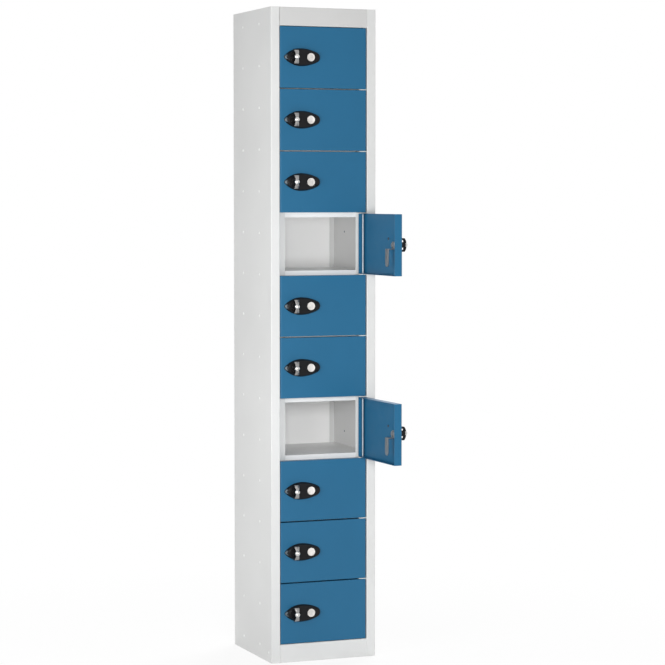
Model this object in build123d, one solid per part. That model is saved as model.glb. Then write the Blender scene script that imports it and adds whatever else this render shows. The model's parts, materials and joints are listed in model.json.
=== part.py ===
"""Ten-door tablet locker of folded sheet steel, in millimetres.

The origin is the middle of the carcass on the floor, +Z is up and the doors face -Y.
Each door hangs on one full-height rod at the right and has a turning latch for a padlock.
The fourth and seventh doors from the top stand open, as in use.
"""
from build123d import *
import os

# Overall size of the carcass and the bends of its sheet
WIDTH = 305.0
DEPTH = 305.0
HEIGHT = 1780.0
SHEET = 1.0
INNER_BEND = 0.6

# Front frame and the stops behind the doors
STILE = 25.0
HEADER = 50.0
PLINTH = 50.0
STOP_DEPTH = 24.0
STOP_LIP = 24.0
SEAM = 0.2
FOOT = 20.0

# Rear flanges of the sides, and back
REAR_FLANGE = 15.0
BACK_INSET = 1.0
WALL_HOLE_RADIUS = 3.5
WALL_HOLE_SPACING = 200.0

# Compartments and shelves
DOORS = 10
SHELF_EDGE = 23.0
SHELF_RETURN = 10.0
SHELF_SIDE = 15.0

# Doors
OPEN_DOORS = (4, 7)
OPEN_ANGLE = 91.0
DOOR_SHEET = 1.0
DOOR_BEND = 2.5
DOOR_SIDE_GAP = 1.5
HINGE_SIDE_GAP = 3.0
DOOR_FROM_STOP = 2.0
HINGE_FLANGE_STEP = 4.0
FLANGE_TAPER = 25.0

# Hinge rod and its tabs
ROD_RADIUS = 3.0
ROD_FROM_STILE = 9.0
ROD_FROM_FRONT = 7.0
ROD_OVERHANG = 6.0
ROD_CLEARANCE = 0.1
DOOR_ROD_CLEARANCE = 0.2
TAB_WIDTH = 22.0
TAB_SHEET = 2.0
TAB_CLEARANCE = 0.75
TAB_SET_BACK = 0.5
TAB_CORNER = 3.0

# Lock housing: x is measured from the latch axis, heights from the door's skin
LATCH_FROM_LIP = 16.5
HOUSING_TIP = 27.5
HOUSING_WIDEST = 20.5
HOUSING_BESIDE_BASE = 9.5
HOUSING_BESIDE_DISC = 16.8
HOUSING_TIP_RADIUS = 4.0
HOUSING_END_RADIUS = 14.0
HOUSING_HEIGHT = 7.5
HOUSING_DRAFT = 25.0
HOUSING_CHORDS = 52
COLLAR_WALL = 1.9
COLLAR_RISE = 3.5
COLLAR_DRAFT = 28.5
DISC_OFFSET = 47.0
DISC_RADIUS = 12.7
DISC_SHEET = 1.2
ROUND_SIDES = 28

# Latch knob: a bow-shaped wing with two padlock windows on a round base
BASE_RADIUS = 14.5
BASE_CLEARANCE = 0.2
BASE_BELOW_COLLAR = 1.0
WING_HALF = 18.25
WING_END_HALF_WIDTH = 7.5
WING_WAIST_HALF_WIDTH = 3.5
WING_FOOT = 10.0
WING_ABOVE_COLLAR = 1.0
WING_END = 9.0
WING_RISE = 16.5
WING_CORNER = 3.0
BOW_CHORDS = 6
WINDOW_WIDTH = 5.6
WINDOW_HEIGHT = 8.6
WINDOW_BAR = 2.0
WINDOW_FROM_BOSS = 0.55
BOSS_RADIUS = 6.75
BOSS_RISE = 2.5
BOSS_EDGE = 3.0
BOSS_SIDES = 8

# Square spindle of the knob and the cranked cam behind the door
SPINDLE_HALF = 4.6
SPINDLE_CLEARANCE = 0.3
SPINDLE_LENGTH = 7.0
SHANK_STEP = 0.6
SHANK_CLEARANCE = 0.1
CAM_SHEET = 2.5
CAM_HALF_WIDTH = 9.0
CAM_CRANK = 12.5
CAM_BEHIND_STOP = 0.5
CAM_TIP_FROM_SIDE = 8.0
CAM_CORNER = 5.0
SCREW_HEAD_RADIUS = 6.5
SCREW_HEAD_HEIGHT = 3.5

# Places and sizes of the carcass and doors that follow from the sizes above
LEFT = -WIDTH / 2
RIGHT = WIDTH / 2
FRONT = -DEPTH / 2
BACK = DEPTH / 2
BEND = SHEET + INNER_BEND
STILE_INNER = LEFT + STILE
DOORWAY_TOP = HEIGHT - HEADER
PITCH = (DOORWAY_TOP - PLINTH) / DOORS
STOP_FRONT = FRONT + STOP_DEPTH
STOP_BACK = STOP_FRONT + SHEET
BACK_FACE = BACK - SHEET
FLANGE_FRONT = BACK_FACE - BEND
FLANGE_INNER = LEFT + REAR_FLANGE
SHELF_RISE = SHELF_EDGE / 2
DOOR_GAP = TAB_SHEET + 2 * TAB_CLEARANCE
DOOR_LEFT = STILE_INNER + DOOR_SIDE_GAP
DOOR_RIGHT = RIGHT - STILE - HINGE_SIDE_GAP
DOOR_HALF_HEIGHT = (PITCH - DOOR_GAP) / 2
DOOR_FLANGE = STOP_DEPTH - DOOR_FROM_STOP
HINGE_FLANGE = DOOR_FLANGE - HINGE_FLANGE_STEP
ROD_X = RIGHT - STILE - ROD_FROM_STILE
ROD_Y = FRONT + ROD_FROM_FRONT

# Places and sizes of the lock that follow from the sizes above
LATCH_X = STILE_INNER + STOP_LIP + LATCH_FROM_LIP
WELL_RADIUS = BASE_RADIUS + BASE_CLEARANCE
HOUSING_END = DISC_OFFSET + DISC_RADIUS + HOUSING_BESIDE_DISC
HOUSING_HALF = BASE_RADIUS + HOUSING_BESIDE_BASE
COLLAR_TOP = HOUSING_HEIGHT + COLLAR_RISE
BASE_TOP = COLLAR_TOP - BASE_BELOW_COLLAR
WING_BOTTOM = COLLAR_TOP + WING_ABOVE_COLLAR
WING_SHOULDER = WING_BOTTOM + WING_END
WING_TOP = WING_BOTTOM + WING_RISE
WINDOW_FROM_AXIS = BOSS_RADIUS + WINDOW_FROM_BOSS
BOSS_TOP = WING_TOP + BOSS_RISE
SPINDLE_HOLE_HALF = SPINDLE_HALF * 2**0.5 + SPINDLE_CLEARANCE
SHANK_HALF = SPINDLE_HALF - SHANK_STEP
CAM_FRONT = -SPINDLE_LENGTH
CAM_BACK = CAM_FRONT - CAM_SHEET
CAM_ARM = -STOP_DEPTH - SHEET - CAM_BEHIND_STOP
CAM_REACH = LATCH_X - LEFT - CAM_TIP_FROM_SIDE


def door_centre(number):
    """Height of the middle of a door, counted from the top."""
    return DOORWAY_TOP - (number - 0.5) * PITCH


def door_line(number):
    """Height of the gap under a door, which a shelf and a hinge tab share."""
    return DOORWAY_TOP - number * PITCH


def block(x0, x1, y0, y1, z0, z1):
    """Plain block between two corners."""
    corner = (Align.MIN, Align.MIN, Align.MIN)
    return Pos(x0, y0, z0) * Box(x1 - x0, y1 - y0, z1 - z0, align=corner)


def drum(radius, z0, z1):
    """Round piece of the lock on the latch axis, in flats that keep its ten copies light."""
    return extrude(Pos(0, 0, z0) * RegularPolygon(radius, ROUND_SIDES), z1 - z0)


def both_sides(part):
    """A piece of the left side and its mirror image on the right."""
    return part + mirror(part, about=Plane.YZ)


def sheet_section(points, radii, side, thickness=SHEET):
    """Section of a folded sheet on one side of a line with rounded corners."""
    line = FilletPolyline(*points, radius=radii)
    return make_face(offset(line, thickness, side=side).edges())


def across(points, radii, side, x0, x1):
    """Sheet folded along a line of (depth, height) points and as wide as x0 to x1."""
    section = Plane.YZ.offset(x0) * sheet_section(points, radii, side)
    return extrude(section, x1 - x0, dir=(1, 0, 0))


def rod_hole(z0, z1, clearance=ROD_CLEARANCE):
    """Square hole for the hinge rod through a sheet."""
    half = ROD_RADIUS + clearance
    return block(ROD_X - half, ROD_X + half, ROD_Y - half, ROD_Y + half, z0, z1)


def side_panel():
    """Left side with its hollow front stile, door stop lip and rear flange."""
    points = [
        (STILE_INNER + STOP_LIP, STOP_FRONT),
        (STILE_INNER, STOP_FRONT),
        (STILE_INNER, FRONT),
        (LEFT, FRONT),
        (LEFT, BACK_FACE),
        (FLANGE_INNER, BACK_FACE),
    ]
    radii = [0, BEND, BEND, BEND]
    panel = extrude(sheet_section(points, radii, Side.RIGHT), HEIGHT, dir=(0, 0, 1))
    for z0, z1 in ((0, PLINTH), (DOORWAY_TOP - BEND, HEIGHT)):
        panel -= block(STILE_INNER, STILE_INNER + STOP_LIP, STOP_FRONT - BEND, STOP_BACK, z0, z1)
    panel -= block(LEFT + SHEET, STILE_INNER, FRONT + SHEET, BACK_FACE, HEIGHT - SHEET, HEIGHT)
    panel -= block(LEFT + SHEET, STILE_INNER, FRONT + SHEET, STOP_BACK, 0, SHEET)
    return panel


def back_panel():
    """Flat back over the rear flanges of the sides, with two holes for fixing it to a wall."""
    x = -LEFT - BACK_INSET
    panel = block(-x, x, BACK_FACE, BACK, 0, HEIGHT)
    for side in (-1, 1):
        hole = Rot(90, 0, 0) * Cylinder(WALL_HOLE_RADIUS, 4 * SHEET)
        panel -= Pos(side * WALL_HOLE_SPACING / 2, BACK, door_centre(1)) * hole
    return panel


def flange_notches(z0, z1):
    """Room for the rear flanges of the two sides."""
    return both_sides(block(LEFT, FLANGE_INNER, FLANGE_FRONT, BACK, z0, z1))


def side_flanges(z0, z1):
    """Flanges that lie against the two sides, in front of their rear flanges."""
    return both_sides(block(LEFT + SHEET, LEFT + 2 * SHEET, STOP_BACK + BEND, FLANGE_FRONT, z0, z1))


def top_panel():
    """Top with its header, the return over the top door and the lip behind that door."""
    edge = STILE_INNER + SEAM
    header = [
        (STOP_BACK, DOORWAY_TOP - SHELF_RISE),
        (STOP_BACK, DOORWAY_TOP),
        (FRONT, DOORWAY_TOP),
        (FRONT, HEIGHT),
        (BACK_FACE, HEIGHT),
        (BACK_FACE, HEIGHT - SHELF_SIDE),
    ]
    panel = across(header, [BEND - SHEET, BEND, BEND, BEND], Side.RIGHT, edge, -edge)
    plate = block(LEFT + SHEET, edge, FRONT + SHEET, BACK_FACE, HEIGHT - SHEET, HEIGHT)
    plate = fillet(plate.edges().filter_by(Axis.Z).sort_by(Axis.X)[:2], BEND)
    panel += both_sides(plate)
    return panel - rod_hole(DOORWAY_TOP, DOORWAY_TOP + SHEET)


def base_panel():
    """Floor of the lowest compartment with its plinth, skirts and foot flange."""
    top = PLINTH + SHELF_RISE
    edge = STILE_INNER + SEAM
    floor = [
        (BACK_FACE, top - SHELF_SIDE),
        (BACK_FACE, top),
        (STOP_BACK, top),
        (STOP_BACK, PLINTH - SHEET),
    ]
    panel = across(floor, [BEND, BEND], Side.LEFT, LEFT + SHEET, RIGHT - SHEET)
    panel -= flange_notches(0, top)
    plinth = [
        (STOP_BACK + SHEET, PLINTH),
        (FRONT, PLINTH),
        (FRONT, 0),
        (FRONT + FOOT, 0),
    ]
    panel += across(plinth, [BEND, BEND], Side.LEFT, edge, -edge)
    panel += side_flanges(0, top)
    panel += block(LEFT + SHEET, RIGHT - SHEET, FRONT + BEND, FRONT + FOOT, 0, SHEET)
    panel += both_sides(block(LEFT + SHEET, LEFT + FOOT, FRONT + BEND, FLANGE_FRONT, 0, SHEET))
    return panel - rod_hole(PLINTH - SHEET, PLINTH)


def shelf(line):
    """Shelf with a deep front edge, notched round the rear flanges of the sides."""
    top = line + SHELF_RISE
    points = [
        (BACK_FACE, top - SHELF_SIDE),
        (BACK_FACE, top),
        (STOP_BACK, top),
        (STOP_BACK, line - SHELF_RISE),
        (STOP_BACK + SHELF_RETURN, line - SHELF_RISE),
    ]
    plate = across(points, 0, Side.LEFT, LEFT + SHEET, RIGHT - SHEET)
    plate -= flange_notches(line - SHELF_RISE, top)
    return plate + side_flanges(top - SHELF_SIDE, top)


def hinge_tab(line):
    """Tab in the corner of the right stile that carries the hinge rod."""
    corner = RIGHT - STILE
    z0 = line - TAB_SHEET / 2
    tab = block(corner - TAB_WIDTH, corner, FRONT + TAB_SET_BACK, STOP_FRONT, z0, z0 + TAB_SHEET)
    uprights = tab.edges().filter_by(Axis.Z).sort_by(Axis.X)
    tab = chamfer(uprights[:2].sort_by(Axis.Y)[0], TAB_CORNER)
    uprights = tab.edges().filter_by(Axis.Z).sort_by(Axis.X)
    tab = chamfer(uprights[-2:].sort_by(Axis.Y)[-1], SHEET)
    return tab - rod_hole(z0, z0 + TAB_SHEET)


def hinge_rod():
    """Full-height rod that every door turns on."""
    length = DOORWAY_TOP - PLINTH + 2 * ROD_OVERHANG
    return Pos(ROD_X, ROD_Y, PLINTH - ROD_OVERHANG + length / 2) * Cylinder(ROD_RADIUS, length)


def tray(inset, depth):
    """Block of the door's size, inset on five sides, and its two upright front edges."""
    x0 = DOOR_LEFT + inset
    x1 = DOOR_RIGHT - inset
    half = DOOR_HALF_HEIGHT - inset
    body = block(x0, x1, FRONT + inset, FRONT + depth, -half, half)
    return body, body.faces().sort_by(Axis.Y)[0].edges().filter_by(Axis.Z)


def door_panel():
    """Door pressed as a tray: skin, four flanges and square holes for the rod and the lock."""
    body, edges = tray(0, DOOR_FLANGE)
    door = fillet(edges, DOOR_BEND)
    body, edges = tray(DOOR_SHEET, DOOR_FLANGE + DOOR_SHEET)
    door -= chamfer(edges, DOOR_SHEET)
    beyond = DOOR_RIGHT + DOOR_SHEET
    deep = FRONT + DOOR_FLANGE
    low = FRONT + HINGE_FLANGE
    taper = Polyline(
        (DOOR_RIGHT - FLANGE_TAPER, deep),
        (DOOR_RIGHT - DOOR_SHEET, low),
        (beyond, low),
        (beyond, deep),
        close=True,
    )
    door -= extrude(make_face(taper), DOOR_HALF_HEIGHT, both=True)
    door -= rod_hole(-DOOR_HALF_HEIGHT, DOOR_HALF_HEIGHT, DOOR_ROD_CLEARANCE)
    hole = (-SPINDLE_HOLE_HALF, SPINDLE_HOLE_HALF)
    return door - lock_frame(0) * block(*hole, *hole, -DOOR_SHEET, 0)


def lock_frame(height):
    """Place of a lock on a closed door: x to the right, y up, z out of the skin."""
    return Plane((LATCH_X, FRONT, height), x_dir=(1, 0, 0), z_dir=(0, -1, 0)).location


def lens(radius):
    """Outline between two equal arcs that are as far apart as the housing is high."""
    shift = radius - HOUSING_HALF
    return Pos(0, shift) * Circle(radius) & Pos(0, -shift) * Circle(radius)


def housing_outline():
    """Eye shape: pointed towards the door's edge, round at the other end."""
    tip = HOUSING_TIP + HOUSING_WIDEST
    end = HOUSING_END - HOUSING_WIDEST - HOUSING_END_RADIUS
    tip_radius = (tip**2 + HOUSING_HALF**2) / (2 * HOUSING_HALF)
    spare = HOUSING_HALF - HOUSING_END_RADIUS
    end_radius = (end**2 + HOUSING_HALF**2 - HOUSING_END_RADIUS**2) / (2 * spare)
    size = 4 * HOUSING_END
    middle = (Align.MIN, Align.CENTER)
    outline = Pos(-size) * Rectangle(size, size, align=middle) & lens(tip_radius)
    outline += Rectangle(size, size, align=middle) & lens(end_radius)
    outline = fillet(outline.vertices().sort_by(Axis.X)[0], HOUSING_TIP_RADIUS)
    outline = fillet(outline.vertices().sort_by(Axis.X)[-1], HOUSING_END_RADIUS)
    edge = outline.wire()
    chords = Polyline(*[edge @ (step / HOUSING_CHORDS) for step in range(HOUSING_CHORDS)], close=True)
    return Pos(HOUSING_WIDEST) * make_face(chords)


def lock_housing():
    """Moulded housing with a raised collar round the well for the knob's base."""
    body = extrude(housing_outline(), HOUSING_HEIGHT, taper=HOUSING_DRAFT)
    foot = Pos(0, 0, HOUSING_HEIGHT) * RegularPolygon(WELL_RADIUS + COLLAR_WALL, ROUND_SIDES)
    body += extrude(foot, COLLAR_RISE, taper=COLLAR_DRAFT)
    return body - drum(WELL_RADIUS, 0, COLLAR_TOP)


def number_disc():
    """Blank number disc on the housing."""
    return Pos(DISC_OFFSET) * drum(DISC_RADIUS, HOUSING_HEIGHT, HOUSING_HEIGHT + DISC_SHEET)


def wing():
    """Bow-shaped wing of the knob, with its two padlock windows."""
    inner = WING_HALF - WING_CORNER
    low = Polyline(
        (-WING_HALF, WING_SHOULDER),
        (-WING_HALF, WING_BOTTOM + WING_CORNER),
        (-inner, WING_BOTTOM),
        (-WING_FOOT, WING_BOTTOM),
        (-WING_FOOT, BASE_TOP),
        (WING_FOOT, BASE_TOP),
        (WING_FOOT, WING_BOTTOM),
        (inner, WING_BOTTOM),
        (WING_HALF, WING_BOTTOM + WING_CORNER),
        (WING_HALF, WING_SHOULDER),
    )
    arch = ThreePointArc(low @ 1, (0, WING_TOP), low @ 0)
    arch = Polyline(*[arch @ (step / BOW_CHORDS) for step in range(BOW_CHORDS + 1)])
    bow = make_face(low.edges() + arch.edges())
    window = Rectangle(WINDOW_WIDTH, WINDOW_HEIGHT)
    window_y = WINDOW_FROM_AXIS + WINDOW_WIDTH / 2
    window_z = WING_BOTTOM + WINDOW_BAR + WINDOW_HEIGHT / 2
    bow -= Pos(window_y, window_z) * window
    bow -= Pos(-window_y, window_z) * window
    side_view = extrude(Plane.YZ * bow, WING_END_HALF_WIDTH, both=True)
    waist = Polyline(
        (-WING_END_HALF_WIDTH, -WING_HALF),
        (WING_END_HALF_WIDTH, -WING_HALF),
        (WING_WAIST_HALF_WIDTH, 0),
        (WING_END_HALF_WIDTH, WING_HALF),
        (-WING_END_HALF_WIDTH, WING_HALF),
        (-WING_WAIST_HALF_WIDTH, 0),
        close=True,
    )
    return side_view & extrude(make_face(waist), WING_TOP)


def latch_knob():
    """Knob with its wing, boss, round base and the square spindle that turns the cam."""
    boss = extrude(RegularPolygon(BOSS_RADIUS, BOSS_SIDES), BOSS_TOP)
    knob = wing() + chamfer(boss.faces().sort_by(Axis.Z)[-1].edges(), BOSS_EDGE)
    knob += drum(BASE_RADIUS, 0, BASE_TOP)
    spindle = (-SPINDLE_HALF, SPINDLE_HALF)
    knob += block(*spindle, *spindle, CAM_FRONT, 0)
    shank = (-SHANK_HALF, SHANK_HALF)
    return knob + block(*shank, *shank, CAM_BACK, CAM_FRONT)


def cam_plate():
    """Cranked cam, which points down at rest and behind the stop lip when it is locked."""
    points = [
        (CAM_HALF_WIDTH, CAM_FRONT),
        (-CAM_CRANK, CAM_FRONT),
        (-CAM_CRANK, CAM_ARM),
        (-CAM_REACH, CAM_ARM),
    ]
    line = Polyline(*points)
    strip = make_face(offset(line, CAM_SHEET, side=Side.LEFT, kind=Kind.INTERSECTION).edges())
    strip = extrude(Plane.YZ * strip, CAM_HALF_WIDTH, both=True)
    top = (Align.CENTER, Align.MAX)
    outline = Rectangle(2 * CAM_HALF_WIDTH, CAM_HALF_WIDTH + CAM_REACH, align=top)
    outline = Pos(0, CAM_HALF_WIDTH) * chamfer(outline.vertices(), CAM_CORNER)
    deep = CAM_ARM - CAM_SHEET
    plate = strip & extrude(Pos(0, 0, deep) * outline, CAM_FRONT - deep)
    hole = (-SHANK_HALF - SHANK_CLEARANCE, SHANK_HALF + SHANK_CLEARANCE)
    return plate - block(*hole, *hole, CAM_BACK, CAM_FRONT)


def cam_screw():
    """Hexagon head of the screw that holds the cam on its shank."""
    head = RegularPolygon(SCREW_HEAD_RADIUS, 6)
    return extrude(Pos(0, 0, CAM_BACK - SCREW_HEAD_HEIGHT) * head, SCREW_HEAD_HEIGHT)


def swing(number):
    """Turn about the hinge rod that a door has in the resting part."""
    if number not in OPEN_DOORS:
        return Location()
    return Pos(ROD_X, ROD_Y) * Rot(0, 0, OPEN_ANGLE) * Pos(-ROD_X, -ROD_Y)


def save(name, *parts):
    """Write the solids of one node."""
    solids = [solid for part in parts for solid in part.solids()]
    export_step(Compound(children=solids), f"parts/{name}.step")


def main():
    os.makedirs("parts", exist_ok=True)
    left = side_panel()
    save("left_side_panel", left)
    save("right_side_panel", mirror(left, about=Plane.YZ))
    save("back_panel", back_panel())
    save("top_panel", top_panel())
    save("base_panel", base_panel())
    lines = [door_line(number) for number in range(1, DOORS)]
    save("shelves", *[shelf(line) for line in lines])
    save("hinge_tabs", *[hinge_tab(line) for line in lines])
    save("hinge_rod", hinge_rod())
    door = door_panel()
    housing = lock_housing()
    disc = number_disc()
    knob = latch_knob()
    cam = cam_plate()
    screw = cam_screw()
    for number in range(1, DOORS + 1):
        turn = swing(number)
        height = door_centre(number)
        lock = turn * lock_frame(height)
        save(f"door_panel_{number}", turn * Pos(0, 0, height) * door)
        save(f"lock_housing_{number}", lock * housing)
        save(f"number_disc_{number}", lock * disc)
        save(f"latch_knob_{number}", lock * knob)
        save(f"latch_cam_{number}", lock * cam, lock * screw)


if __name__ == "__main__":
    main()
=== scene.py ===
"""Ten-door tablet locker: finishes, rounded edges and moulded lock parts, in metres.

The pieces are placed by the latch axes and boxes of the frame. A lock's own frame has its
origin where the latch axis meets the door's skin, x across the door, y up and z outwards.
"""
import bpy
import bmesh
import json
import math
from mathutils import Euler, Matrix, Vector


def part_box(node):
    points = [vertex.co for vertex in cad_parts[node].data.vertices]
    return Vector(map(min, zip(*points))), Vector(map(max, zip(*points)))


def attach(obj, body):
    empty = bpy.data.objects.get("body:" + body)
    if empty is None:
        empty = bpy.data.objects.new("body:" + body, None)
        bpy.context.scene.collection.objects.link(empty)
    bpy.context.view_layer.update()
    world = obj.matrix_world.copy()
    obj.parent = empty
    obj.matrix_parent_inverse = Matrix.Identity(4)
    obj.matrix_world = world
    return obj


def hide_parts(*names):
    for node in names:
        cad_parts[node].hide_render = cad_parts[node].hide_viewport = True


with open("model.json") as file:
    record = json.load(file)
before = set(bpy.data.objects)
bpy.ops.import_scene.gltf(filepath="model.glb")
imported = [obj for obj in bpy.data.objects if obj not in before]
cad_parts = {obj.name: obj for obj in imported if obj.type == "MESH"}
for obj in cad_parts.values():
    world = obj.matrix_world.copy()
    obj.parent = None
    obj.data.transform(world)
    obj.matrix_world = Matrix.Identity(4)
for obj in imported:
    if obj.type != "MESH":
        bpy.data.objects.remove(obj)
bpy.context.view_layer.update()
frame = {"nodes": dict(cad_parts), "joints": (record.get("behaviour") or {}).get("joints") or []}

MM = 0.001
DOORS = 10
DOOR_SHEET = 1.0 * MM
PANEL_SHEET = 1.0 * MM
ROUND_SIDES = 64
JOINTS = {joint["name"]: joint for joint in frame["joints"]}

# Small fittings start this far inside what carries them
SEAT = 0.3 * MM

# A piece with two finishes has these places for them
FIRST_FINISH = 0
SECOND_FINISH = 1

# A flat face looks along X when its normal's share of X is more than this
FACING = 0.99

# Camera, fitted to the corners of the locker in a square picture
CAMERA_PLACE = (-2.3225, -6.0360, 1.2631)
CAMERA_PITCH = -3.278
CAMERA_HEADING = -21.757
CAMERA_LENS = 125.8
SENSOR_WIDTH = 36.0

# Edge roundings of the frame's pieces: points nearer than the weld are one, faces within the
# flat angle are one, and edges sharper than the edge angle are rounded
SHEET_EDGE = 0.3 * MM
DOOR_EDGE = 0.5 * MM
KNOB_EDGE = 0.7 * MM
CAM_EDGE = 0.4 * MM
ROD_EDGE = 0.5 * MM
WELD = 0.005 * MM
FLAT_ANGLE = 1.0
EDGE_ANGLE = 32.0

# Lock housing: an eye of two pairs of arcs, closed by a small arc at each end
HOUSING_TIP = 30.0 * MM
HOUSING_WIDEST = 20.5 * MM
HOUSING_END = 76.5 * MM
HOUSING_HALF = 24.0 * MM
HOUSING_TIP_RADIUS = 6.0 * MM
HOUSING_END_RADIUS = 14.0 * MM
HOUSING_HEIGHT = 7.5 * MM
HOUSING_DRAFT = 25.0
RIM_BLEND = 1.6 * MM
WELL_RADIUS = 14.7 * MM
COLLAR_RADIUS = 16.6 * MM
COLLAR_TOP = 11.0 * MM
COLLAR_DRAFT = 28.5
COLLAR_BLEND = 0.7 * MM
FOOT_BLEND = 1.4 * MM
SIDE_STEPS = 26
TIP_STEPS = 8
END_STEPS = 14
ANGLE_SLACK = 1e-9

# Rings of the housing's mesh, in millimetres from its outline and from the lip of the well
RIM_RINGS = (0.0, 0.4, 0.9, 1.5, 2.1, 2.6, 3.0, 3.4, 3.8, 4.3, 5.2)
LIP_RINGS = (7.0, 5.4, 4.2, 3.4, 2.8, 2.3, 1.9, 1.5, 1.1, 0.8, 0.5, 0.25, 0.0)

# Slope that the housing's tip rises on, with a painted highlight: a paler grey on its faces between these
# rings of its mesh
TIP_SLOPE = 38.0
PAINTED_HIGHLIGHT_RINGS = (2, 10)
PAINTED_HIGHLIGHT_COLUMNS = 6

# Number disc and the bezel whose lip holds it
DISC_OFFSET = 47.0 * MM
DISC_RADIUS = 12.7 * MM
DISC_TOP = 8.3 * MM
DISC_ROUND = 0.5 * MM
DISC_RIM = 2.2 * MM
DISC_STEP = 0.4 * MM
DISC_DISH = 0.25 * MM
DISC_MIDDLE = 0.6 * MM
BEZEL_INNER = 11.0 * MM
BEZEL_OUTER = 15.0 * MM
BEZEL_RISE = 1.1 * MM
BEZEL_ROUND = 0.5 * MM
BEZEL_LIP_STEPS = 3

# Bright cap on the knob: a ball over its boss and a bow over its wing
WING_HALF = 18.25 * MM
WING_SHOULDER = 21.0 * MM
WING_TOP = 28.5 * MM
WING_WAIST = 3.5 * MM
WING_FLARE = 4.0 * MM
BOW_MARGIN = 0.6 * MM
BOW_END_MARGIN = 0.25 * MM
BOW_PROUD = 0.45 * MM
BOW_SUNK = 0.5 * MM
BOW_ROUND = 0.3 * MM
BOW_STATIONS = 24
BALL_RADIUS = 7.1 * MM
BALL_FOOT = 25.0 * MM
BALL_SHOULDER = 27.0 * MM
BALL_TOP = 32.2 * MM
BALL_STEPS = 10

# Rivets along both sides: two columns, at these depths from the front, evenly spaced upwards,
# and one near the foot, given by its depth and height
RIVET_RADIUS = 3.6 * MM
RIVET_RISE = 1.1 * MM
RIVET_DEPTHS = (93.0 * MM, 223.5 * MM)
RIVET_FIRST = 38.0 * MM
RIVET_PITCH = 113.4 * MM
RIVET_ROWS = 16
FOOT_RIVET = (23.0 * MM, 26.0 * MM)
TAIL_RADIUS = 2.7 * MM
TAIL_RISE = 1.5 * MM
DOME_STEPS = 4
RIVET_SIDES = 20

# Screws that hold the housing, on the inner skin of the door, with a dimple in the head
SCREW_OFFSET = 47.0 * MM
SCREW_FROM_MIDDLE = 16.0 * MM
SCREW_RADIUS = 3.4 * MM
SCREW_RISE = 2.0 * MM
SCREW_ROUND = 0.8 * MM
SCREW_SEAT = 0.2 * MM
SCREW_SIDES = 24
DIMPLE_RADIUS = 1.3 * MM
DIMPLE_FOOT = 0.3 * MM
DIMPLE_DEPTH = 0.9 * MM

# Angles in degrees over which an edge of a made piece stays sharp
SHARP_PLASTIC = 50.0
SHARP_CAP = 45.0
SHARP_RIVET = 60.0

# Finishes: features per metre of each noise, and the depth of its relief
COAT_TONE = 3.0
COAT_MARKS = 24.0
COAT_WAVES = 160.0
COAT_WAVE_DEPTH = 0.08 * MM
COAT_PEEL = 850.0
COAT_PEEL_DEPTH = 0.045 * MM
COAT_SPECULAR = 0.32
PLASTIC_TONE = 60.0
PLASTIC_SCUFFS = 220.0
PLASTIC_GRAIN = 2600.0
METAL_CLOUD = 90.0
METAL_STREAKS = 700.0
METAL_STREAK_DEPTH = 0.02 * MM
DRAWN_ACROSS = (1.0, 1.0, 6.0)
DRAWN_UPWARDS = (1.0, 1.0, 0.1)
NOT_DRAWN = (1.0, 1.0, 1.0)
NOISE_MIDDLE = (0.32, 0.68)
WHITE = (1.0, 1.0, 1.0, 1.0)

# Studio: soft lamps beside the camera, on the left and behind, and a level surround
AMBIENT = 0.26
LIT_POINT = (0.0, 0.0, 0.95)
LAMPS = {
    "front_lamp": {"place": (-0.92, -2.93, 1.08), "size": 0.7, "power": 46.5},
    "left_lamp": {"place": (-2.1, -1.3, 1.0), "size": 1.4, "power": 27.5},
    "rear_lamp": {"place": (1.9, 2.1, 4.2), "size": 2.2, "power": 145.0},
}
FLOOR_RADIUS = 12.0
FLOOR_WHITE = 0.92
FLOOR_NEAR_SHARE = 0.88
FLOOR_NEAR = 0.35
FLOOR_FAR = 1.5


def graph(name):
    """New node material, with its nodes, its links and its shader."""
    material = bpy.data.materials.new(name)
    material.use_nodes = True
    tree = material.node_tree
    return material, tree.nodes, tree.links, tree.nodes["Principled BSDF"]


def noise(nodes, links, scale, detail=3.0, stretch=(1.0, 1.0, 1.0)):
    """Noise in the object's own space: scale is in features per metre."""
    place = nodes.new("ShaderNodeTexCoord")
    mapping = nodes.new("ShaderNodeMapping")
    mapping.inputs["Scale"].default_value = stretch
    texture = nodes.new("ShaderNodeTexNoise")
    texture.inputs["Scale"].default_value = scale
    texture.inputs["Detail"].default_value = detail
    links.new(place.outputs["Object"], mapping.inputs["Vector"])
    links.new(mapping.outputs["Vector"], texture.inputs["Vector"])
    return texture.outputs["Fac"]


def spread(nodes, links, value, low, high, start=0.3, end=0.7):
    """A value between low and high that follows a noise."""
    node = nodes.new("ShaderNodeMapRange")
    node.inputs["From Min"].default_value = start
    node.inputs["From Max"].default_value = end
    node.inputs["To Min"].default_value = low
    node.inputs["To Max"].default_value = high
    links.new(value, node.inputs["Value"])
    return node.outputs["Result"]


def cloudy(nodes, links, value, colour, darker, lighter):
    """A colour that follows a noise from a darker tone to a lighter one."""
    node = nodes.new("ShaderNodeValToRGB")
    for stop, place, factor in zip(node.color_ramp.elements, NOISE_MIDDLE, (darker, lighter)):
        stop.position = place
        stop.color = (*tint(colour, factor), 1.0)
    links.new(value, node.inputs["Fac"])
    return node.outputs["Color"]


def relief(nodes, links, value, depth, strength, under=None):
    """Bump of a depth in metres, over another bump if one is given."""
    node = nodes.new("ShaderNodeBump")
    node.inputs["Strength"].default_value = strength
    node.inputs["Distance"].default_value = depth
    links.new(value, node.inputs["Height"])
    if under is not None:
        links.new(under, node.inputs["Normal"])
    return node.outputs["Normal"]


def tint(colour, factor):
    """A colour made lighter or darker."""
    return tuple(channel * factor for channel in colour)


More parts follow.
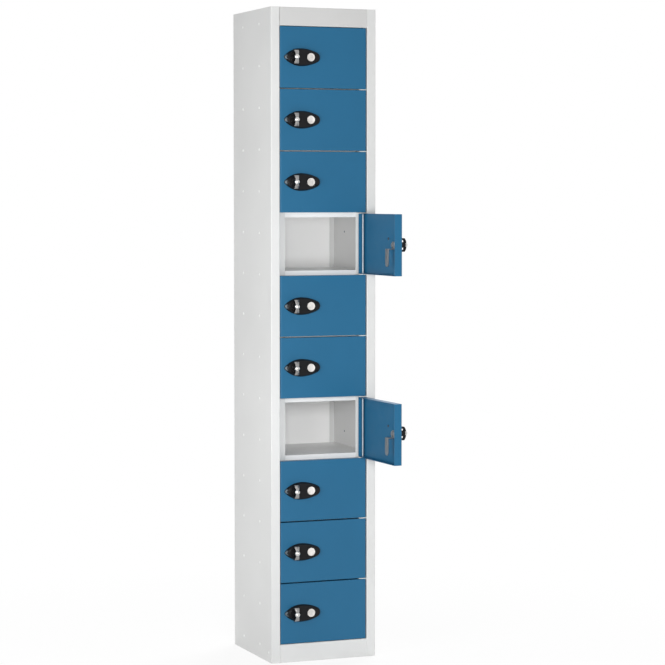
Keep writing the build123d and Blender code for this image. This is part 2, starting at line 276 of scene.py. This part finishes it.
def powder_coat(name, colour, roughness):
    """Sprayed and baked paint: fine orange peel, a slow change of tone and faint handling marks."""
    material, nodes, links, shader = graph(name)
    tone = noise(nodes, links, COAT_TONE, detail=4.0)
    shade = cloudy(nodes, links, tone, colour, darker=0.965, lighter=1.03)
    links.new(shade, shader.inputs["Base Color"])
    marks = noise(nodes, links, COAT_MARKS, detail=6.0)
    matt = spread(nodes, links, marks, low=roughness - 0.04, high=roughness + 0.05)
    links.new(matt, shader.inputs["Roughness"])
    swell = noise(nodes, links, COAT_WAVES, detail=1.0)
    waves = relief(nodes, links, swell, COAT_WAVE_DEPTH, strength=0.4)
    grain = noise(nodes, links, COAT_PEEL, detail=2.0)
    peel = relief(nodes, links, grain, COAT_PEEL_DEPTH, strength=0.7, under=waves)
    links.new(peel, shader.inputs["Normal"])
    shader.inputs["Specular IOR Level"].default_value = COAT_SPECULAR
    return material


def moulded_plastic(name, colour, roughness, grain_depth, specular):
    """Moulded plastic with a fine spark-eroded grain."""
    material, nodes, links, shader = graph(name)
    tone = noise(nodes, links, PLASTIC_TONE)
    shade = cloudy(nodes, links, tone, colour, darker=0.85, lighter=1.15)
    links.new(shade, shader.inputs["Base Color"])
    scuffs = noise(nodes, links, PLASTIC_SCUFFS, detail=5.0)
    matt = spread(nodes, links, scuffs, low=roughness - 0.05, high=roughness + 0.06)
    links.new(matt, shader.inputs["Roughness"])
    fine = noise(nodes, links, PLASTIC_GRAIN, detail=1.0)
    grain = relief(nodes, links, fine, grain_depth, strength=0.4)
    links.new(grain, shader.inputs["Normal"])
    shader.inputs["Specular IOR Level"].default_value = specular
    return material


def plated_metal(name, colour, roughness, stretch):
    """Plated metal with fine draw marks along one direction and a slightly cloudy tone."""
    material, nodes, links, shader = graph(name)
    shader.inputs["Metallic"].default_value = 1.0
    cloud = noise(nodes, links, METAL_CLOUD, detail=3.0)
    shade = cloudy(nodes, links, cloud, colour, darker=0.9, lighter=1.08)
    links.new(shade, shader.inputs["Base Color"])
    streaks = noise(nodes, links, METAL_STREAKS, detail=3.0, stretch=stretch)
    matt = spread(nodes, links, streaks, low=roughness - 0.06, high=roughness + 0.08)
    links.new(matt, shader.inputs["Roughness"])
    marks = relief(nodes, links, streaks, METAL_STREAK_DEPTH, strength=0.3)
    links.new(marks, shader.inputs["Normal"])
    return material


def paper_floor(name):
    """White studio floor: plain white far off, and near the object it takes the soft shadow."""
    material, nodes, links, shader = graph(name)
    nodes.remove(shader)
    glow = nodes.new("ShaderNodeEmission")
    matt = nodes.new("ShaderNodeBsdfDiffuse")
    matt.inputs["Color"].default_value = (FLOOR_WHITE, FLOOR_WHITE, FLOOR_WHITE, 1.0)
    place = nodes.new("ShaderNodeTexCoord")
    reach = nodes.new("ShaderNodeVectorMath")
    reach.operation = "LENGTH"
    links.new(place.outputs["Object"], reach.inputs[0])
    plain = spread(nodes, links, reach.outputs["Value"], FLOOR_NEAR_SHARE, 1.0, FLOOR_NEAR, FLOOR_FAR)
    share = nodes.new("ShaderNodeMath")
    share.operation = "MULTIPLY"
    links.new(seen_directly(nodes, links), share.inputs[0])
    links.new(plain, share.inputs[1])
    mix = nodes.new("ShaderNodeMixShader")
    links.new(share.outputs[0], mix.inputs[0])
    links.new(matt.outputs[0], mix.inputs[1])
    links.new(glow.outputs[0], mix.inputs[2])
    links.new(mix.outputs[0], nodes["Material Output"].inputs["Surface"])
    return material


def seen_directly(nodes, links):
    """1 for rays that show the surface itself: from the camera, in a mirror or through glass."""
    path = nodes.new("ShaderNodeLightPath")
    total = path.outputs["Is Camera Ray"]
    for kind in ("Is Glossy Ray", "Is Transmission Ray"):
        add = nodes.new("ShaderNodeMath")
        add.operation = "ADD"
        add.use_clamp = True
        links.new(total, add.inputs[0])
        links.new(path.outputs[kind], add.inputs[1])
        total = add.outputs[0]
    return total


def build_materials():
    """One material for each finish. The top's is a darker copy of the grey coat, a painted shade; those
    of the back, the inner walls, the shelves and the rivet heads are lighter copies, painted light; the
    tip's paler grey is a painted highlight.
    """
    return {
        "body": powder_coat("grey_powder_coat", (0.68, 0.685, 0.68), roughness=0.42),
        # Painted shade: a darker copy of the body's grey coat for the top panel
        "shaded_top": powder_coat("grey_powder_coat_top_painted_shade", (0.59, 0.59, 0.585), roughness=0.46),
        # Painted light: lighter copies of the same grey coat for the back, the inner walls and the
        # shelves, that the compartments show
        "back": powder_coat("grey_powder_coat_back_painted_light", (0.95, 0.95, 0.945), roughness=0.40),
        "wall": powder_coat("grey_powder_coat_wall_painted_light", (0.80, 0.80, 0.795), roughness=0.42),
        "shelf": powder_coat("grey_powder_coat_shelf_painted_light", (0.80, 0.80, 0.795), roughness=0.32),
        # Painted highlight: a lighter copy of the grey coat for the outer rivet heads
        "rivet": powder_coat("grey_rivet_heads_painted_highlight", (0.86, 0.865, 0.86), roughness=0.36),
        "door": powder_coat("blue_powder_coat", (0.012, 0.117, 0.235), roughness=0.40),
        "lock": moulded_plastic(
            "black_plastic", (0.006, 0.006, 0.007), roughness=0.34, grain_depth=0.015 * MM, specular=0.18
        ),
        # Painted highlight: a paler grey for the faces on the housing's tip
        "tip": moulded_plastic(
            "black_plastic_tip_painted_highlight", (0.055, 0.08, 0.10), roughness=0.32, grain_depth=0.010 * MM, specular=0.5
        ),
        "disc": moulded_plastic(
            "white_plastic", (0.68, 0.65, 0.62), roughness=0.36, grain_depth=0.008 * MM, specular=0.4
        ),
        "satin": plated_metal("satin_nickel", (0.32, 0.315, 0.31), roughness=0.34, stretch=DRAWN_ACROSS),
        "chrome": plated_metal("bright_chrome", (0.66, 0.65, 0.63), roughness=0.18, stretch=DRAWN_ACROSS),
        "zinc": plated_metal("zinc_plate", (0.42, 0.435, 0.45), roughness=0.40, stretch=DRAWN_UPWARDS),
        "rod": plated_metal("dull_zinc_rod", (0.27, 0.30, 0.33), roughness=0.50, stretch=DRAWN_UPWARDS),
        "screw": plated_metal("blackened_steel", (0.10, 0.10, 0.11), roughness=0.38, stretch=NOT_DRAWN),
    }


def soften(name, width, material, segments=2):
    """Gives a node of the frame rounded edges and its finish."""
    node = frame["nodes"][name]
    weld = node.modifiers.new("weld", "WELD")
    weld.merge_threshold = WELD
    flat = node.modifiers.new("flat", "DECIMATE")
    flat.decimate_type = "DISSOLVE"
    flat.angle_limit = math.radians(FLAT_ANGLE)
    edge = node.modifiers.new("edge", "BEVEL")
    edge.width = width
    edge.segments = segments
    edge.limit_method = "ANGLE"
    edge.angle_limit = math.radians(EDGE_ANGLE)
    normals = node.modifiers.new("normals", "WEIGHTED_NORMAL")
    normals.keep_sharp = True
    for slot in node.material_slots:
        slot.material = material


def side_panel(side):
    """Name of the left (-1) or right (1) side panel, its front, and its outer and inner faces."""
    name = "left_side_panel" if side < 0 else "right_side_panel"
    low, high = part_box(name)
    outer = low.x if side < 0 else high.x
    return name, low.y, outer, outer - side * PANEL_SHEET


def line_side(side, material):
    """Gives the face of a side panel that the compartments show a finish of its own: a lighter copy of
    the grey coat, which is painted light.
    """
    name, _, _, wall = side_panel(side)
    mesh = frame["nodes"][name].data
    mesh.materials.append(material)
    for face in mesh.polygons:
        if face.normal.x * side < -FACING and abs(face.center.x - wall) < WELD:
            face.material_index = SECOND_FINISH


def lock_frame(number):
    """Place of a lock: x across the door, y up, z out of the skin."""
    joint = JOINTS[f"latch_turn_{number}"]
    outward = -Vector(joint["axis"])
    upward = Vector((0.0, 0.0, 1.0))
    across = upward.cross(outward)
    turn = Matrix((across, upward, outward)).transposed().to_4x4()
    return Matrix.Translation(Vector(joint["pos_m"])) @ turn


def put(name, mesh, materials, body, place=None, replaced=()):
    """Adds a piece of its own from a shape, in its place, riding on a body of the frame."""
    mesh = mesh.copy()
    if place is not None:
        mesh.transform(place)
    for material in materials:
        mesh.materials.append(material)
    piece = bpy.data.objects.new(name, mesh)
    bpy.context.scene.collection.objects.link(piece)
    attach(piece, body)
    if replaced:
        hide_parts(*replaced)


def finish_mesh(name, shape, sharp):
    """Mesh from a bmesh, smooth but for edges over an angle, with its faces outwards."""
    bmesh.ops.recalc_face_normals(shape, faces=shape.faces)
    mesh = bpy.data.meshes.new(name)
    shape.to_mesh(mesh)
    shape.free()
    mesh.shade_smooth()
    mesh.set_sharp_from_angle(angle=math.radians(sharp))
    return mesh


def join_rings(shape, rings, closed=False):
    """Faces between rings of as many points each; closed joins the last ring to the first."""
    rows = [[shape.verts.new(point) for point in ring] for ring in rings]
    pairs = list(zip(rows, rows[1:]))
    if closed:
        pairs.append((rows[-1], rows[0]))
    for low, high in pairs:
        for a in range(len(low)):
            b = (a + 1) % len(low)
            shape.faces.new((low[a], low[b], high[b], high[a]))
    return rows


def circle(radius, height, centre=(0.0, 0.0), sides=ROUND_SIDES):
    """Points of a level circle."""
    angles = [2 * math.pi * k / sides for k in range(sides)]
    return [
        (centre[0] + radius * math.cos(a), centre[1] + radius * math.sin(a), height)
        for a in angles
    ]


def lathe(shape, profile, centre=(0.0, 0.0), sides=ROUND_SIDES, closed=False):
    """Turned form from (radius, height) points: closed is a ring, else both ends get a face."""
    rings = [circle(radius, height, centre, sides) for radius, height in profile]
    rows = join_rings(shape, rings, closed)
    if not closed:
        shape.faces.new(rows[0][::-1])
        shape.faces.new(rows[-1])


def quarter(radius, centre, start, steps=5):
    """Points of a quarter circle in (radius, height), turning left from a start angle in degrees."""
    angles = [math.radians(start + 90.0 * k / steps) for k in range(steps + 1)]
    return [(centre[0] + radius * math.cos(a), centre[1] + radius * math.sin(a)) for a in angles]


class Eye:
    """Outline of the housing: four long arcs, a small tip arc and a round end arc."""

    def __init__(self):
        half = HOUSING_HALF
        tip = HOUSING_TIP + HOUSING_WIDEST
        self.tip_side = (tip**2 + half**2) / (2 * half)
        self.end_centre = HOUSING_END - HOUSING_WIDEST - HOUSING_END_RADIUS
        spare = half - HOUSING_END_RADIUS
        self.end_side = (self.end_centre**2 + half**2 - HOUSING_END_RADIUS**2) / (2 * spare)
        drop = self.tip_side - half
        self.tip_centre = -math.sqrt((self.tip_side - HOUSING_TIP_RADIUS) ** 2 - drop**2)

    def arcs(self):
        """Upper half from the tip to the end: centre, radius, first and last angle, steps."""
        tip_drop = HOUSING_HALF - self.tip_side
        end_drop = HOUSING_HALF - self.end_side
        tip_turn = math.atan2(-tip_drop, self.tip_centre)
        end_turn = math.atan2(-end_drop, self.end_centre)
        quarter_turn = math.pi / 2
        return (
            ((self.tip_centre, 0.0), HOUSING_TIP_RADIUS, math.pi, tip_turn, TIP_STEPS // 2),
            ((0.0, tip_drop), self.tip_side, tip_turn, quarter_turn, SIDE_STEPS),
            ((0.0, end_drop), self.end_side, quarter_turn, end_turn, SIDE_STEPS),
            ((self.end_centre, 0.0), HOUSING_END_RADIUS, end_turn, 0.0, END_STEPS // 2),
        )

    def outline(self):
        """Points all round the outline, from the tip over the top, in the lock's frame."""
        upper = []
        for centre, radius, first, last, steps in self.arcs():
            for k in range(steps):
                angle = first + (last - first) * k / steps
                x = centre[0] + radius * math.cos(angle) + HOUSING_WIDEST
                upper.append((x, centre[1] + radius * math.sin(angle)))
        last = (HOUSING_END, 0.0)
        lower = [(x, -y) for x, y in upper[:0:-1]]
        return upper + [last] + lower

    def inset(self, x, y):
        """How far a point lies inside the outline."""
        x -= HOUSING_WIDEST
        y = abs(y)
        for centre, radius, first, last, _ in self.arcs():
            angle = math.atan2(y - centre[1], x - centre[0])
            if last - ANGLE_SLACK <= angle <= first + ANGLE_SLACK:
                return radius - math.hypot(x - centre[0], y - centre[1])
        return 0.0


def soft_min(a, b, blend_width):
    """Smaller of two heights, with a rounded change from one to the other."""
    share = max(blend_width - abs(a - b), 0.0) / blend_width
    return min(a, b) - share * share * blend_width / 4


def housing_height(eye, x, y):
    """Height of the housing's moulded face: drafted rim, sloping tip, flat top and the collar."""
    rim = eye.inset(x, y) / math.tan(math.radians(HOUSING_DRAFT))
    ramp = (x + HOUSING_TIP) * math.tan(math.radians(TIP_SLOPE))
    face = soft_min(soft_min(rim, ramp, RIM_BLEND), HOUSING_HEIGHT, RIM_BLEND)
    beyond = COLLAR_RADIUS - math.hypot(x, y)
    flank = HOUSING_HEIGHT + beyond / math.tan(math.radians(COLLAR_DRAFT))
    collar = soft_min(flank, COLLAR_TOP, COLLAR_BLEND)
    return max(-soft_min(-face, -collar, FOOT_BLEND), 0.0)


def housing_shape():
    """Moulded housing: rings run from its outline to the lip of the knob's well and down."""
    eye = Eye()
    outline = eye.outline()
    room = RIM_RINGS[-1] + LIP_RINGS[0]
    columns = []
    for x, y in outline:
        reach = math.hypot(x, y)
        span = min(1.0, (reach - WELL_RADIUS) / (room * MM))
        radii = [reach - step * MM * span for step in RIM_RINGS]
        radii += [WELL_RADIUS + step * MM * span for step in LIP_RINGS]
        column = []
        for radius in radii:
            px, py = x / reach * radius, y / reach * radius
            column.append((px, py, housing_height(eye, px, py)))
        lip = column[-1]
        column[0] = (column[0][0], column[0][1], 0.0)
        column.append((lip[0], lip[1], 0.0))
        columns.append(column)
    shape = bmesh.new()
    rings = list(zip(*columns))
    join_rings(shape, rings, closed=True)
    shape.faces.ensure_lookup_table()
    across = len(outline)
    # Painted highlight: the faces on the tip's slope take the paler grey second finish
    for ring in range(*PAINTED_HIGHLIGHT_RINGS):
        for column in range(-PAINTED_HIGHLIGHT_COLUMNS, PAINTED_HIGHLIGHT_COLUMNS):
            shape.faces[ring * across + column % across].material_index = SECOND_FINISH
    add_bezel(shape)
    return finish_mesh("housing", shape, SHARP_PLASTIC)


def add_bezel(shape):
    """Low round bezel that the number disc sits in."""
    foot = HOUSING_HEIGHT - SEAT
    top = HOUSING_HEIGHT + BEZEL_RISE
    outer = BEZEL_ROUND
    inner = BEZEL_ROUND / 2
    profile = [(BEZEL_OUTER, foot)]
    profile += quarter(outer, (BEZEL_OUTER - outer, top - outer), 0.0)
    profile += quarter(inner, (BEZEL_INNER + inner, top - inner), 90.0, BEZEL_LIP_STEPS)
    profile += [(BEZEL_INNER, foot)]
    lathe(shape, profile, centre=(DISC_OFFSET, 0.0), closed=True)


def disc_shape():
    """Blank number disc with a rounded edge and a slightly dished face."""
    shape = bmesh.new()
    soft = DISC_ROUND
    profile = [(DISC_RADIUS - soft, HOUSING_HEIGHT), (DISC_RADIUS, HOUSING_HEIGHT)]
    profile += quarter(soft, (DISC_RADIUS - soft, DISC_TOP - soft), 0.0)
    profile += [(DISC_RADIUS - DISC_RIM, DISC_TOP)]
    face = DISC_RADIUS - DISC_RIM - DISC_STEP
    profile += [(radius, DISC_TOP - DISC_DISH) for radius in (face, face / 2, DISC_MIDDLE)]
    lathe(shape, profile, centre=(DISC_OFFSET, 0.0))
    return finish_mesh("disc", shape, SHARP_PLASTIC)


def bow_line(y):
    """Height of the wing's arched top."""
    rise = WING_TOP - WING_SHOULDER
    radius = (WING_HALF**2 + rise**2) / (2 * rise)
    return math.sqrt(radius**2 - y**2) + WING_TOP - radius


def knob_bow_shape():
    """Satin strip with flared ends along the wing's arch."""
    shape = bmesh.new()
    rings = []
    reach = WING_HALF - BOW_END_MARGIN
    soft = BOW_ROUND
    for k in range(BOW_STATIONS + 1):
        y = -reach + 2 * reach * k / BOW_STATIONS
        half = WING_WAIST + WING_FLARE * abs(y) / WING_HALF - BOW_MARGIN
        low = bow_line(y) - BOW_SUNK
        high = bow_line(y) + BOW_PROUD
        section = [(-half, low), (half, low), (half, high - soft), (half - soft, high)]
        section += [(soft - half, high), (-half, high - soft)]
        rings.append([(x, y, z) for x, z in section])
    rows = join_rings(shape, rings)
    shape.faces.new(rows[0][::-1])
    shape.faces.new(rows[-1])
    return finish_mesh("knob_bow", shape, SHARP_CAP)


def knob_ball_shape():
    """Bright round cap over the knob's boss."""
    shape = bmesh.new()
    crown = BALL_TOP - BALL_SHOULDER
    profile = [(BALL_RADIUS, BALL_FOOT), (BALL_RADIUS, BALL_SHOULDER)]
    for k in range(1, BALL_STEPS):
        angle = math.pi / 2 * k / BALL_STEPS
        profile.append((BALL_RADIUS * math.cos(angle), BALL_SHOULDER + crown * math.sin(angle)))
    lathe(shape, profile)
    return finish_mesh("knob_ball", shape, SHARP_CAP)


def dome(radius, rise):
    """Profile of a low dome that starts just inside the sheet it stands on."""
    profile = [(radius, -SEAT)]
    for k in range(DOME_STEPS):
        angle = math.pi / 2 * k / DOME_STEPS
        profile.append((radius * math.cos(angle), rise * math.sin(angle)))
    return profile


def add_stud(shape, profile, place, side, finish_index):
    """A turned form that stands on a sheet at a place and points along X to one side."""
    stud = bmesh.new()
    lathe(stud, profile, sides=RIVET_SIDES)
    for face in stud.faces:
        face.material_index = finish_index
    turn = Matrix.Translation(place) @ Matrix.Rotation(side * math.pi / 2, 4, "Y")
    bmesh.ops.transform(stud, matrix=turn, verts=stud.verts)
    part = bpy.data.meshes.new("stud")
    stud.to_mesh(part)
    stud.free()
    shape.from_mesh(part)
    bpy.data.meshes.remove(part)


def rivets_shape(side):
    """Rivets in two columns through one side: low painted heads outside, bare ends inside."""
    _, front, outer, inner = side_panel(side)
    places = [(front + FOOT_RIVET[0], FOOT_RIVET[1])]
    for depth in RIVET_DEPTHS:
        for row in range(RIVET_ROWS):
            places.append((front + depth, RIVET_FIRST + row * RIVET_PITCH))
    shape = bmesh.new()
    for y, z in places:
        add_stud(shape, dome(RIVET_RADIUS, RIVET_RISE), (outer, y, z), side, FIRST_FINISH)
    for y, z in places[1:]:
        add_stud(shape, dome(TAIL_RADIUS, TAIL_RISE), (inner, y, z), -side, SECOND_FINISH)
    return finish_mesh("rivets", shape, SHARP_RIVET)


def screws_shape():
    """Two pan-head screws with a dimple, on the inner skin of the door."""
    shape = bmesh.new()
    face = -DOOR_SHEET - SCREW_RISE
    profile = [(SCREW_RADIUS, SCREW_SEAT - DOOR_SHEET)]
    for radius, rise in quarter(SCREW_ROUND, (SCREW_RADIUS - SCREW_ROUND, 0.0), 0.0):
        profile.append((radius, face + SCREW_ROUND - rise))
    profile += [(DIMPLE_RADIUS, face), (DIMPLE_FOOT, face + DIMPLE_DEPTH)]
    for side in (-1, 1):
        centre = (SCREW_OFFSET, side * SCREW_FROM_MIDDLE)
        lathe(shape, profile, centre, sides=SCREW_SIDES)
    return finish_mesh("screws", shape, SHARP_PLASTIC)


def dress_carcass(finish):
    """Finishes and edges of the carcass."""
    for name in ("left_side_panel", "right_side_panel", "base_panel", "hinge_tabs"):
        soften(name, SHEET_EDGE, finish["body"])
    # Painted light: the inner faces of the sides, the back panel and the shelves take lighter copies of
    # the grey coat
    for side in (-1, 1):
        line_side(side, finish["wall"])
    soften("back_panel", SHEET_EDGE, finish["back"])
    soften("shelves", SHEET_EDGE, finish["shelf"])
    # Painted shade: the top panel takes a darker copy of the grey coat
    soften("top_panel", SHEET_EDGE, finish["shaded_top"])
    soften("hinge_rod", ROD_EDGE, finish["rod"])
    # Painted highlight: the rivet heads take a lighter copy of the grey coat
    rivet = [finish["rivet"], finish["rod"]]
    put("left_side_rivets", rivets_shape(-1), rivet, "carcass")
    put("right_side_rivets", rivets_shape(1), rivet, "carcass")


def dress_doors(finish):
    """Finishes of the doors and the moulded parts of their locks."""
    housing = housing_shape()
    disc = disc_shape()
    bow = knob_bow_shape()
    ball = knob_ball_shape()
    screws = screws_shape()
    for k in range(1, DOORS + 1):
        place = lock_frame(k)
        door = f"door_{k}"
        soften(f"door_panel_{k}", DOOR_EDGE, finish["door"])
        soften(f"latch_knob_{k}", KNOB_EDGE, finish["lock"], segments=3)
        soften(f"latch_cam_{k}", CAM_EDGE, finish["zinc"])
        # The second, paler grey on the housing's tip is a painted highlight
        plastic = [finish["lock"], finish["tip"]]
        put(f"housing_{k}", housing, plastic, door, place, [f"lock_housing_{k}"])
        put(f"disc_{k}", disc, [finish["disc"]], door, place, [f"number_disc_{k}"])
        put(f"housing_screws_{k}", screws, [finish["screw"]], door, place)
        put(f"knob_bow_{k}", bow, [finish["satin"]], f"latch_{k}", place)
        put(f"knob_ball_{k}", ball, [finish["chrome"]], f"latch_{k}", place)


def area_lamp(name, place, size, power):
    """Soft square lamp that faces the lit point."""
    data = bpy.data.lights.new(name, "AREA")
    data.size = size
    data.energy = power
    lamp = bpy.data.objects.new(name, data)
    lamp.location = place
    lamp.rotation_euler = (Vector(LIT_POINT) - Vector(place)).to_track_quat("-Z", "Y").to_euler()
    bpy.context.scene.collection.objects.link(lamp)


def studio():
    """White surround, level light and a pale floor that keeps a soft shadow."""
    world = bpy.data.worlds.new("studio")
    bpy.context.scene.world = world
    world.use_nodes = True
    nodes, links = world.node_tree.nodes, world.node_tree.links
    light = nodes["Background"]
    light.inputs["Strength"].default_value = AMBIENT
    white = nodes.new("ShaderNodeBackground")
    white.inputs["Color"].default_value = WHITE
    light.inputs["Color"].default_value = WHITE
    mix = nodes.new("ShaderNodeMixShader")
    links.new(seen_directly(nodes, links), mix.inputs[0])
    links.new(light.outputs[0], mix.inputs[1])
    links.new(white.outputs[0], mix.inputs[2])
    links.new(mix.outputs[0], nodes["World Output"].inputs["Surface"])
    for name, lamp in LAMPS.items():
        area_lamp(name, lamp["place"], lamp["size"], lamp["power"])
    shape = bmesh.new()
    bmesh.ops.create_circle(shape, cap_ends=True, segments=ROUND_SIDES, radius=FLOOR_RADIUS)
    mesh = bpy.data.meshes.new("floor")
    shape.to_mesh(mesh)
    shape.free()
    mesh.materials.append(paper_floor("floor_white"))
    floor = bpy.data.objects.new("floor", mesh)
    bpy.context.scene.collection.objects.link(floor)


def camera():
    """Camera at the photograph's place and angle."""
    data = bpy.data.cameras.new("camera")
    data.lens = CAMERA_LENS
    data.sensor_width = SENSOR_WIDTH
    view = bpy.data.objects.new("camera", data)
    view.location = CAMERA_PLACE
    tilt = math.radians(90.0 + CAMERA_PITCH)
    view.rotation_euler = Euler((tilt, 0.0, math.radians(CAMERA_HEADING)), "XYZ")
    bpy.context.scene.collection.objects.link(view)
    bpy.context.scene.camera = view


bpy.context.scene.view_settings.view_transform = "Standard"
finishes = build_materials()
dress_carcass(finishes)
dress_doors(finishes)
camera()
studio()

bpy.context.view_layer.update()
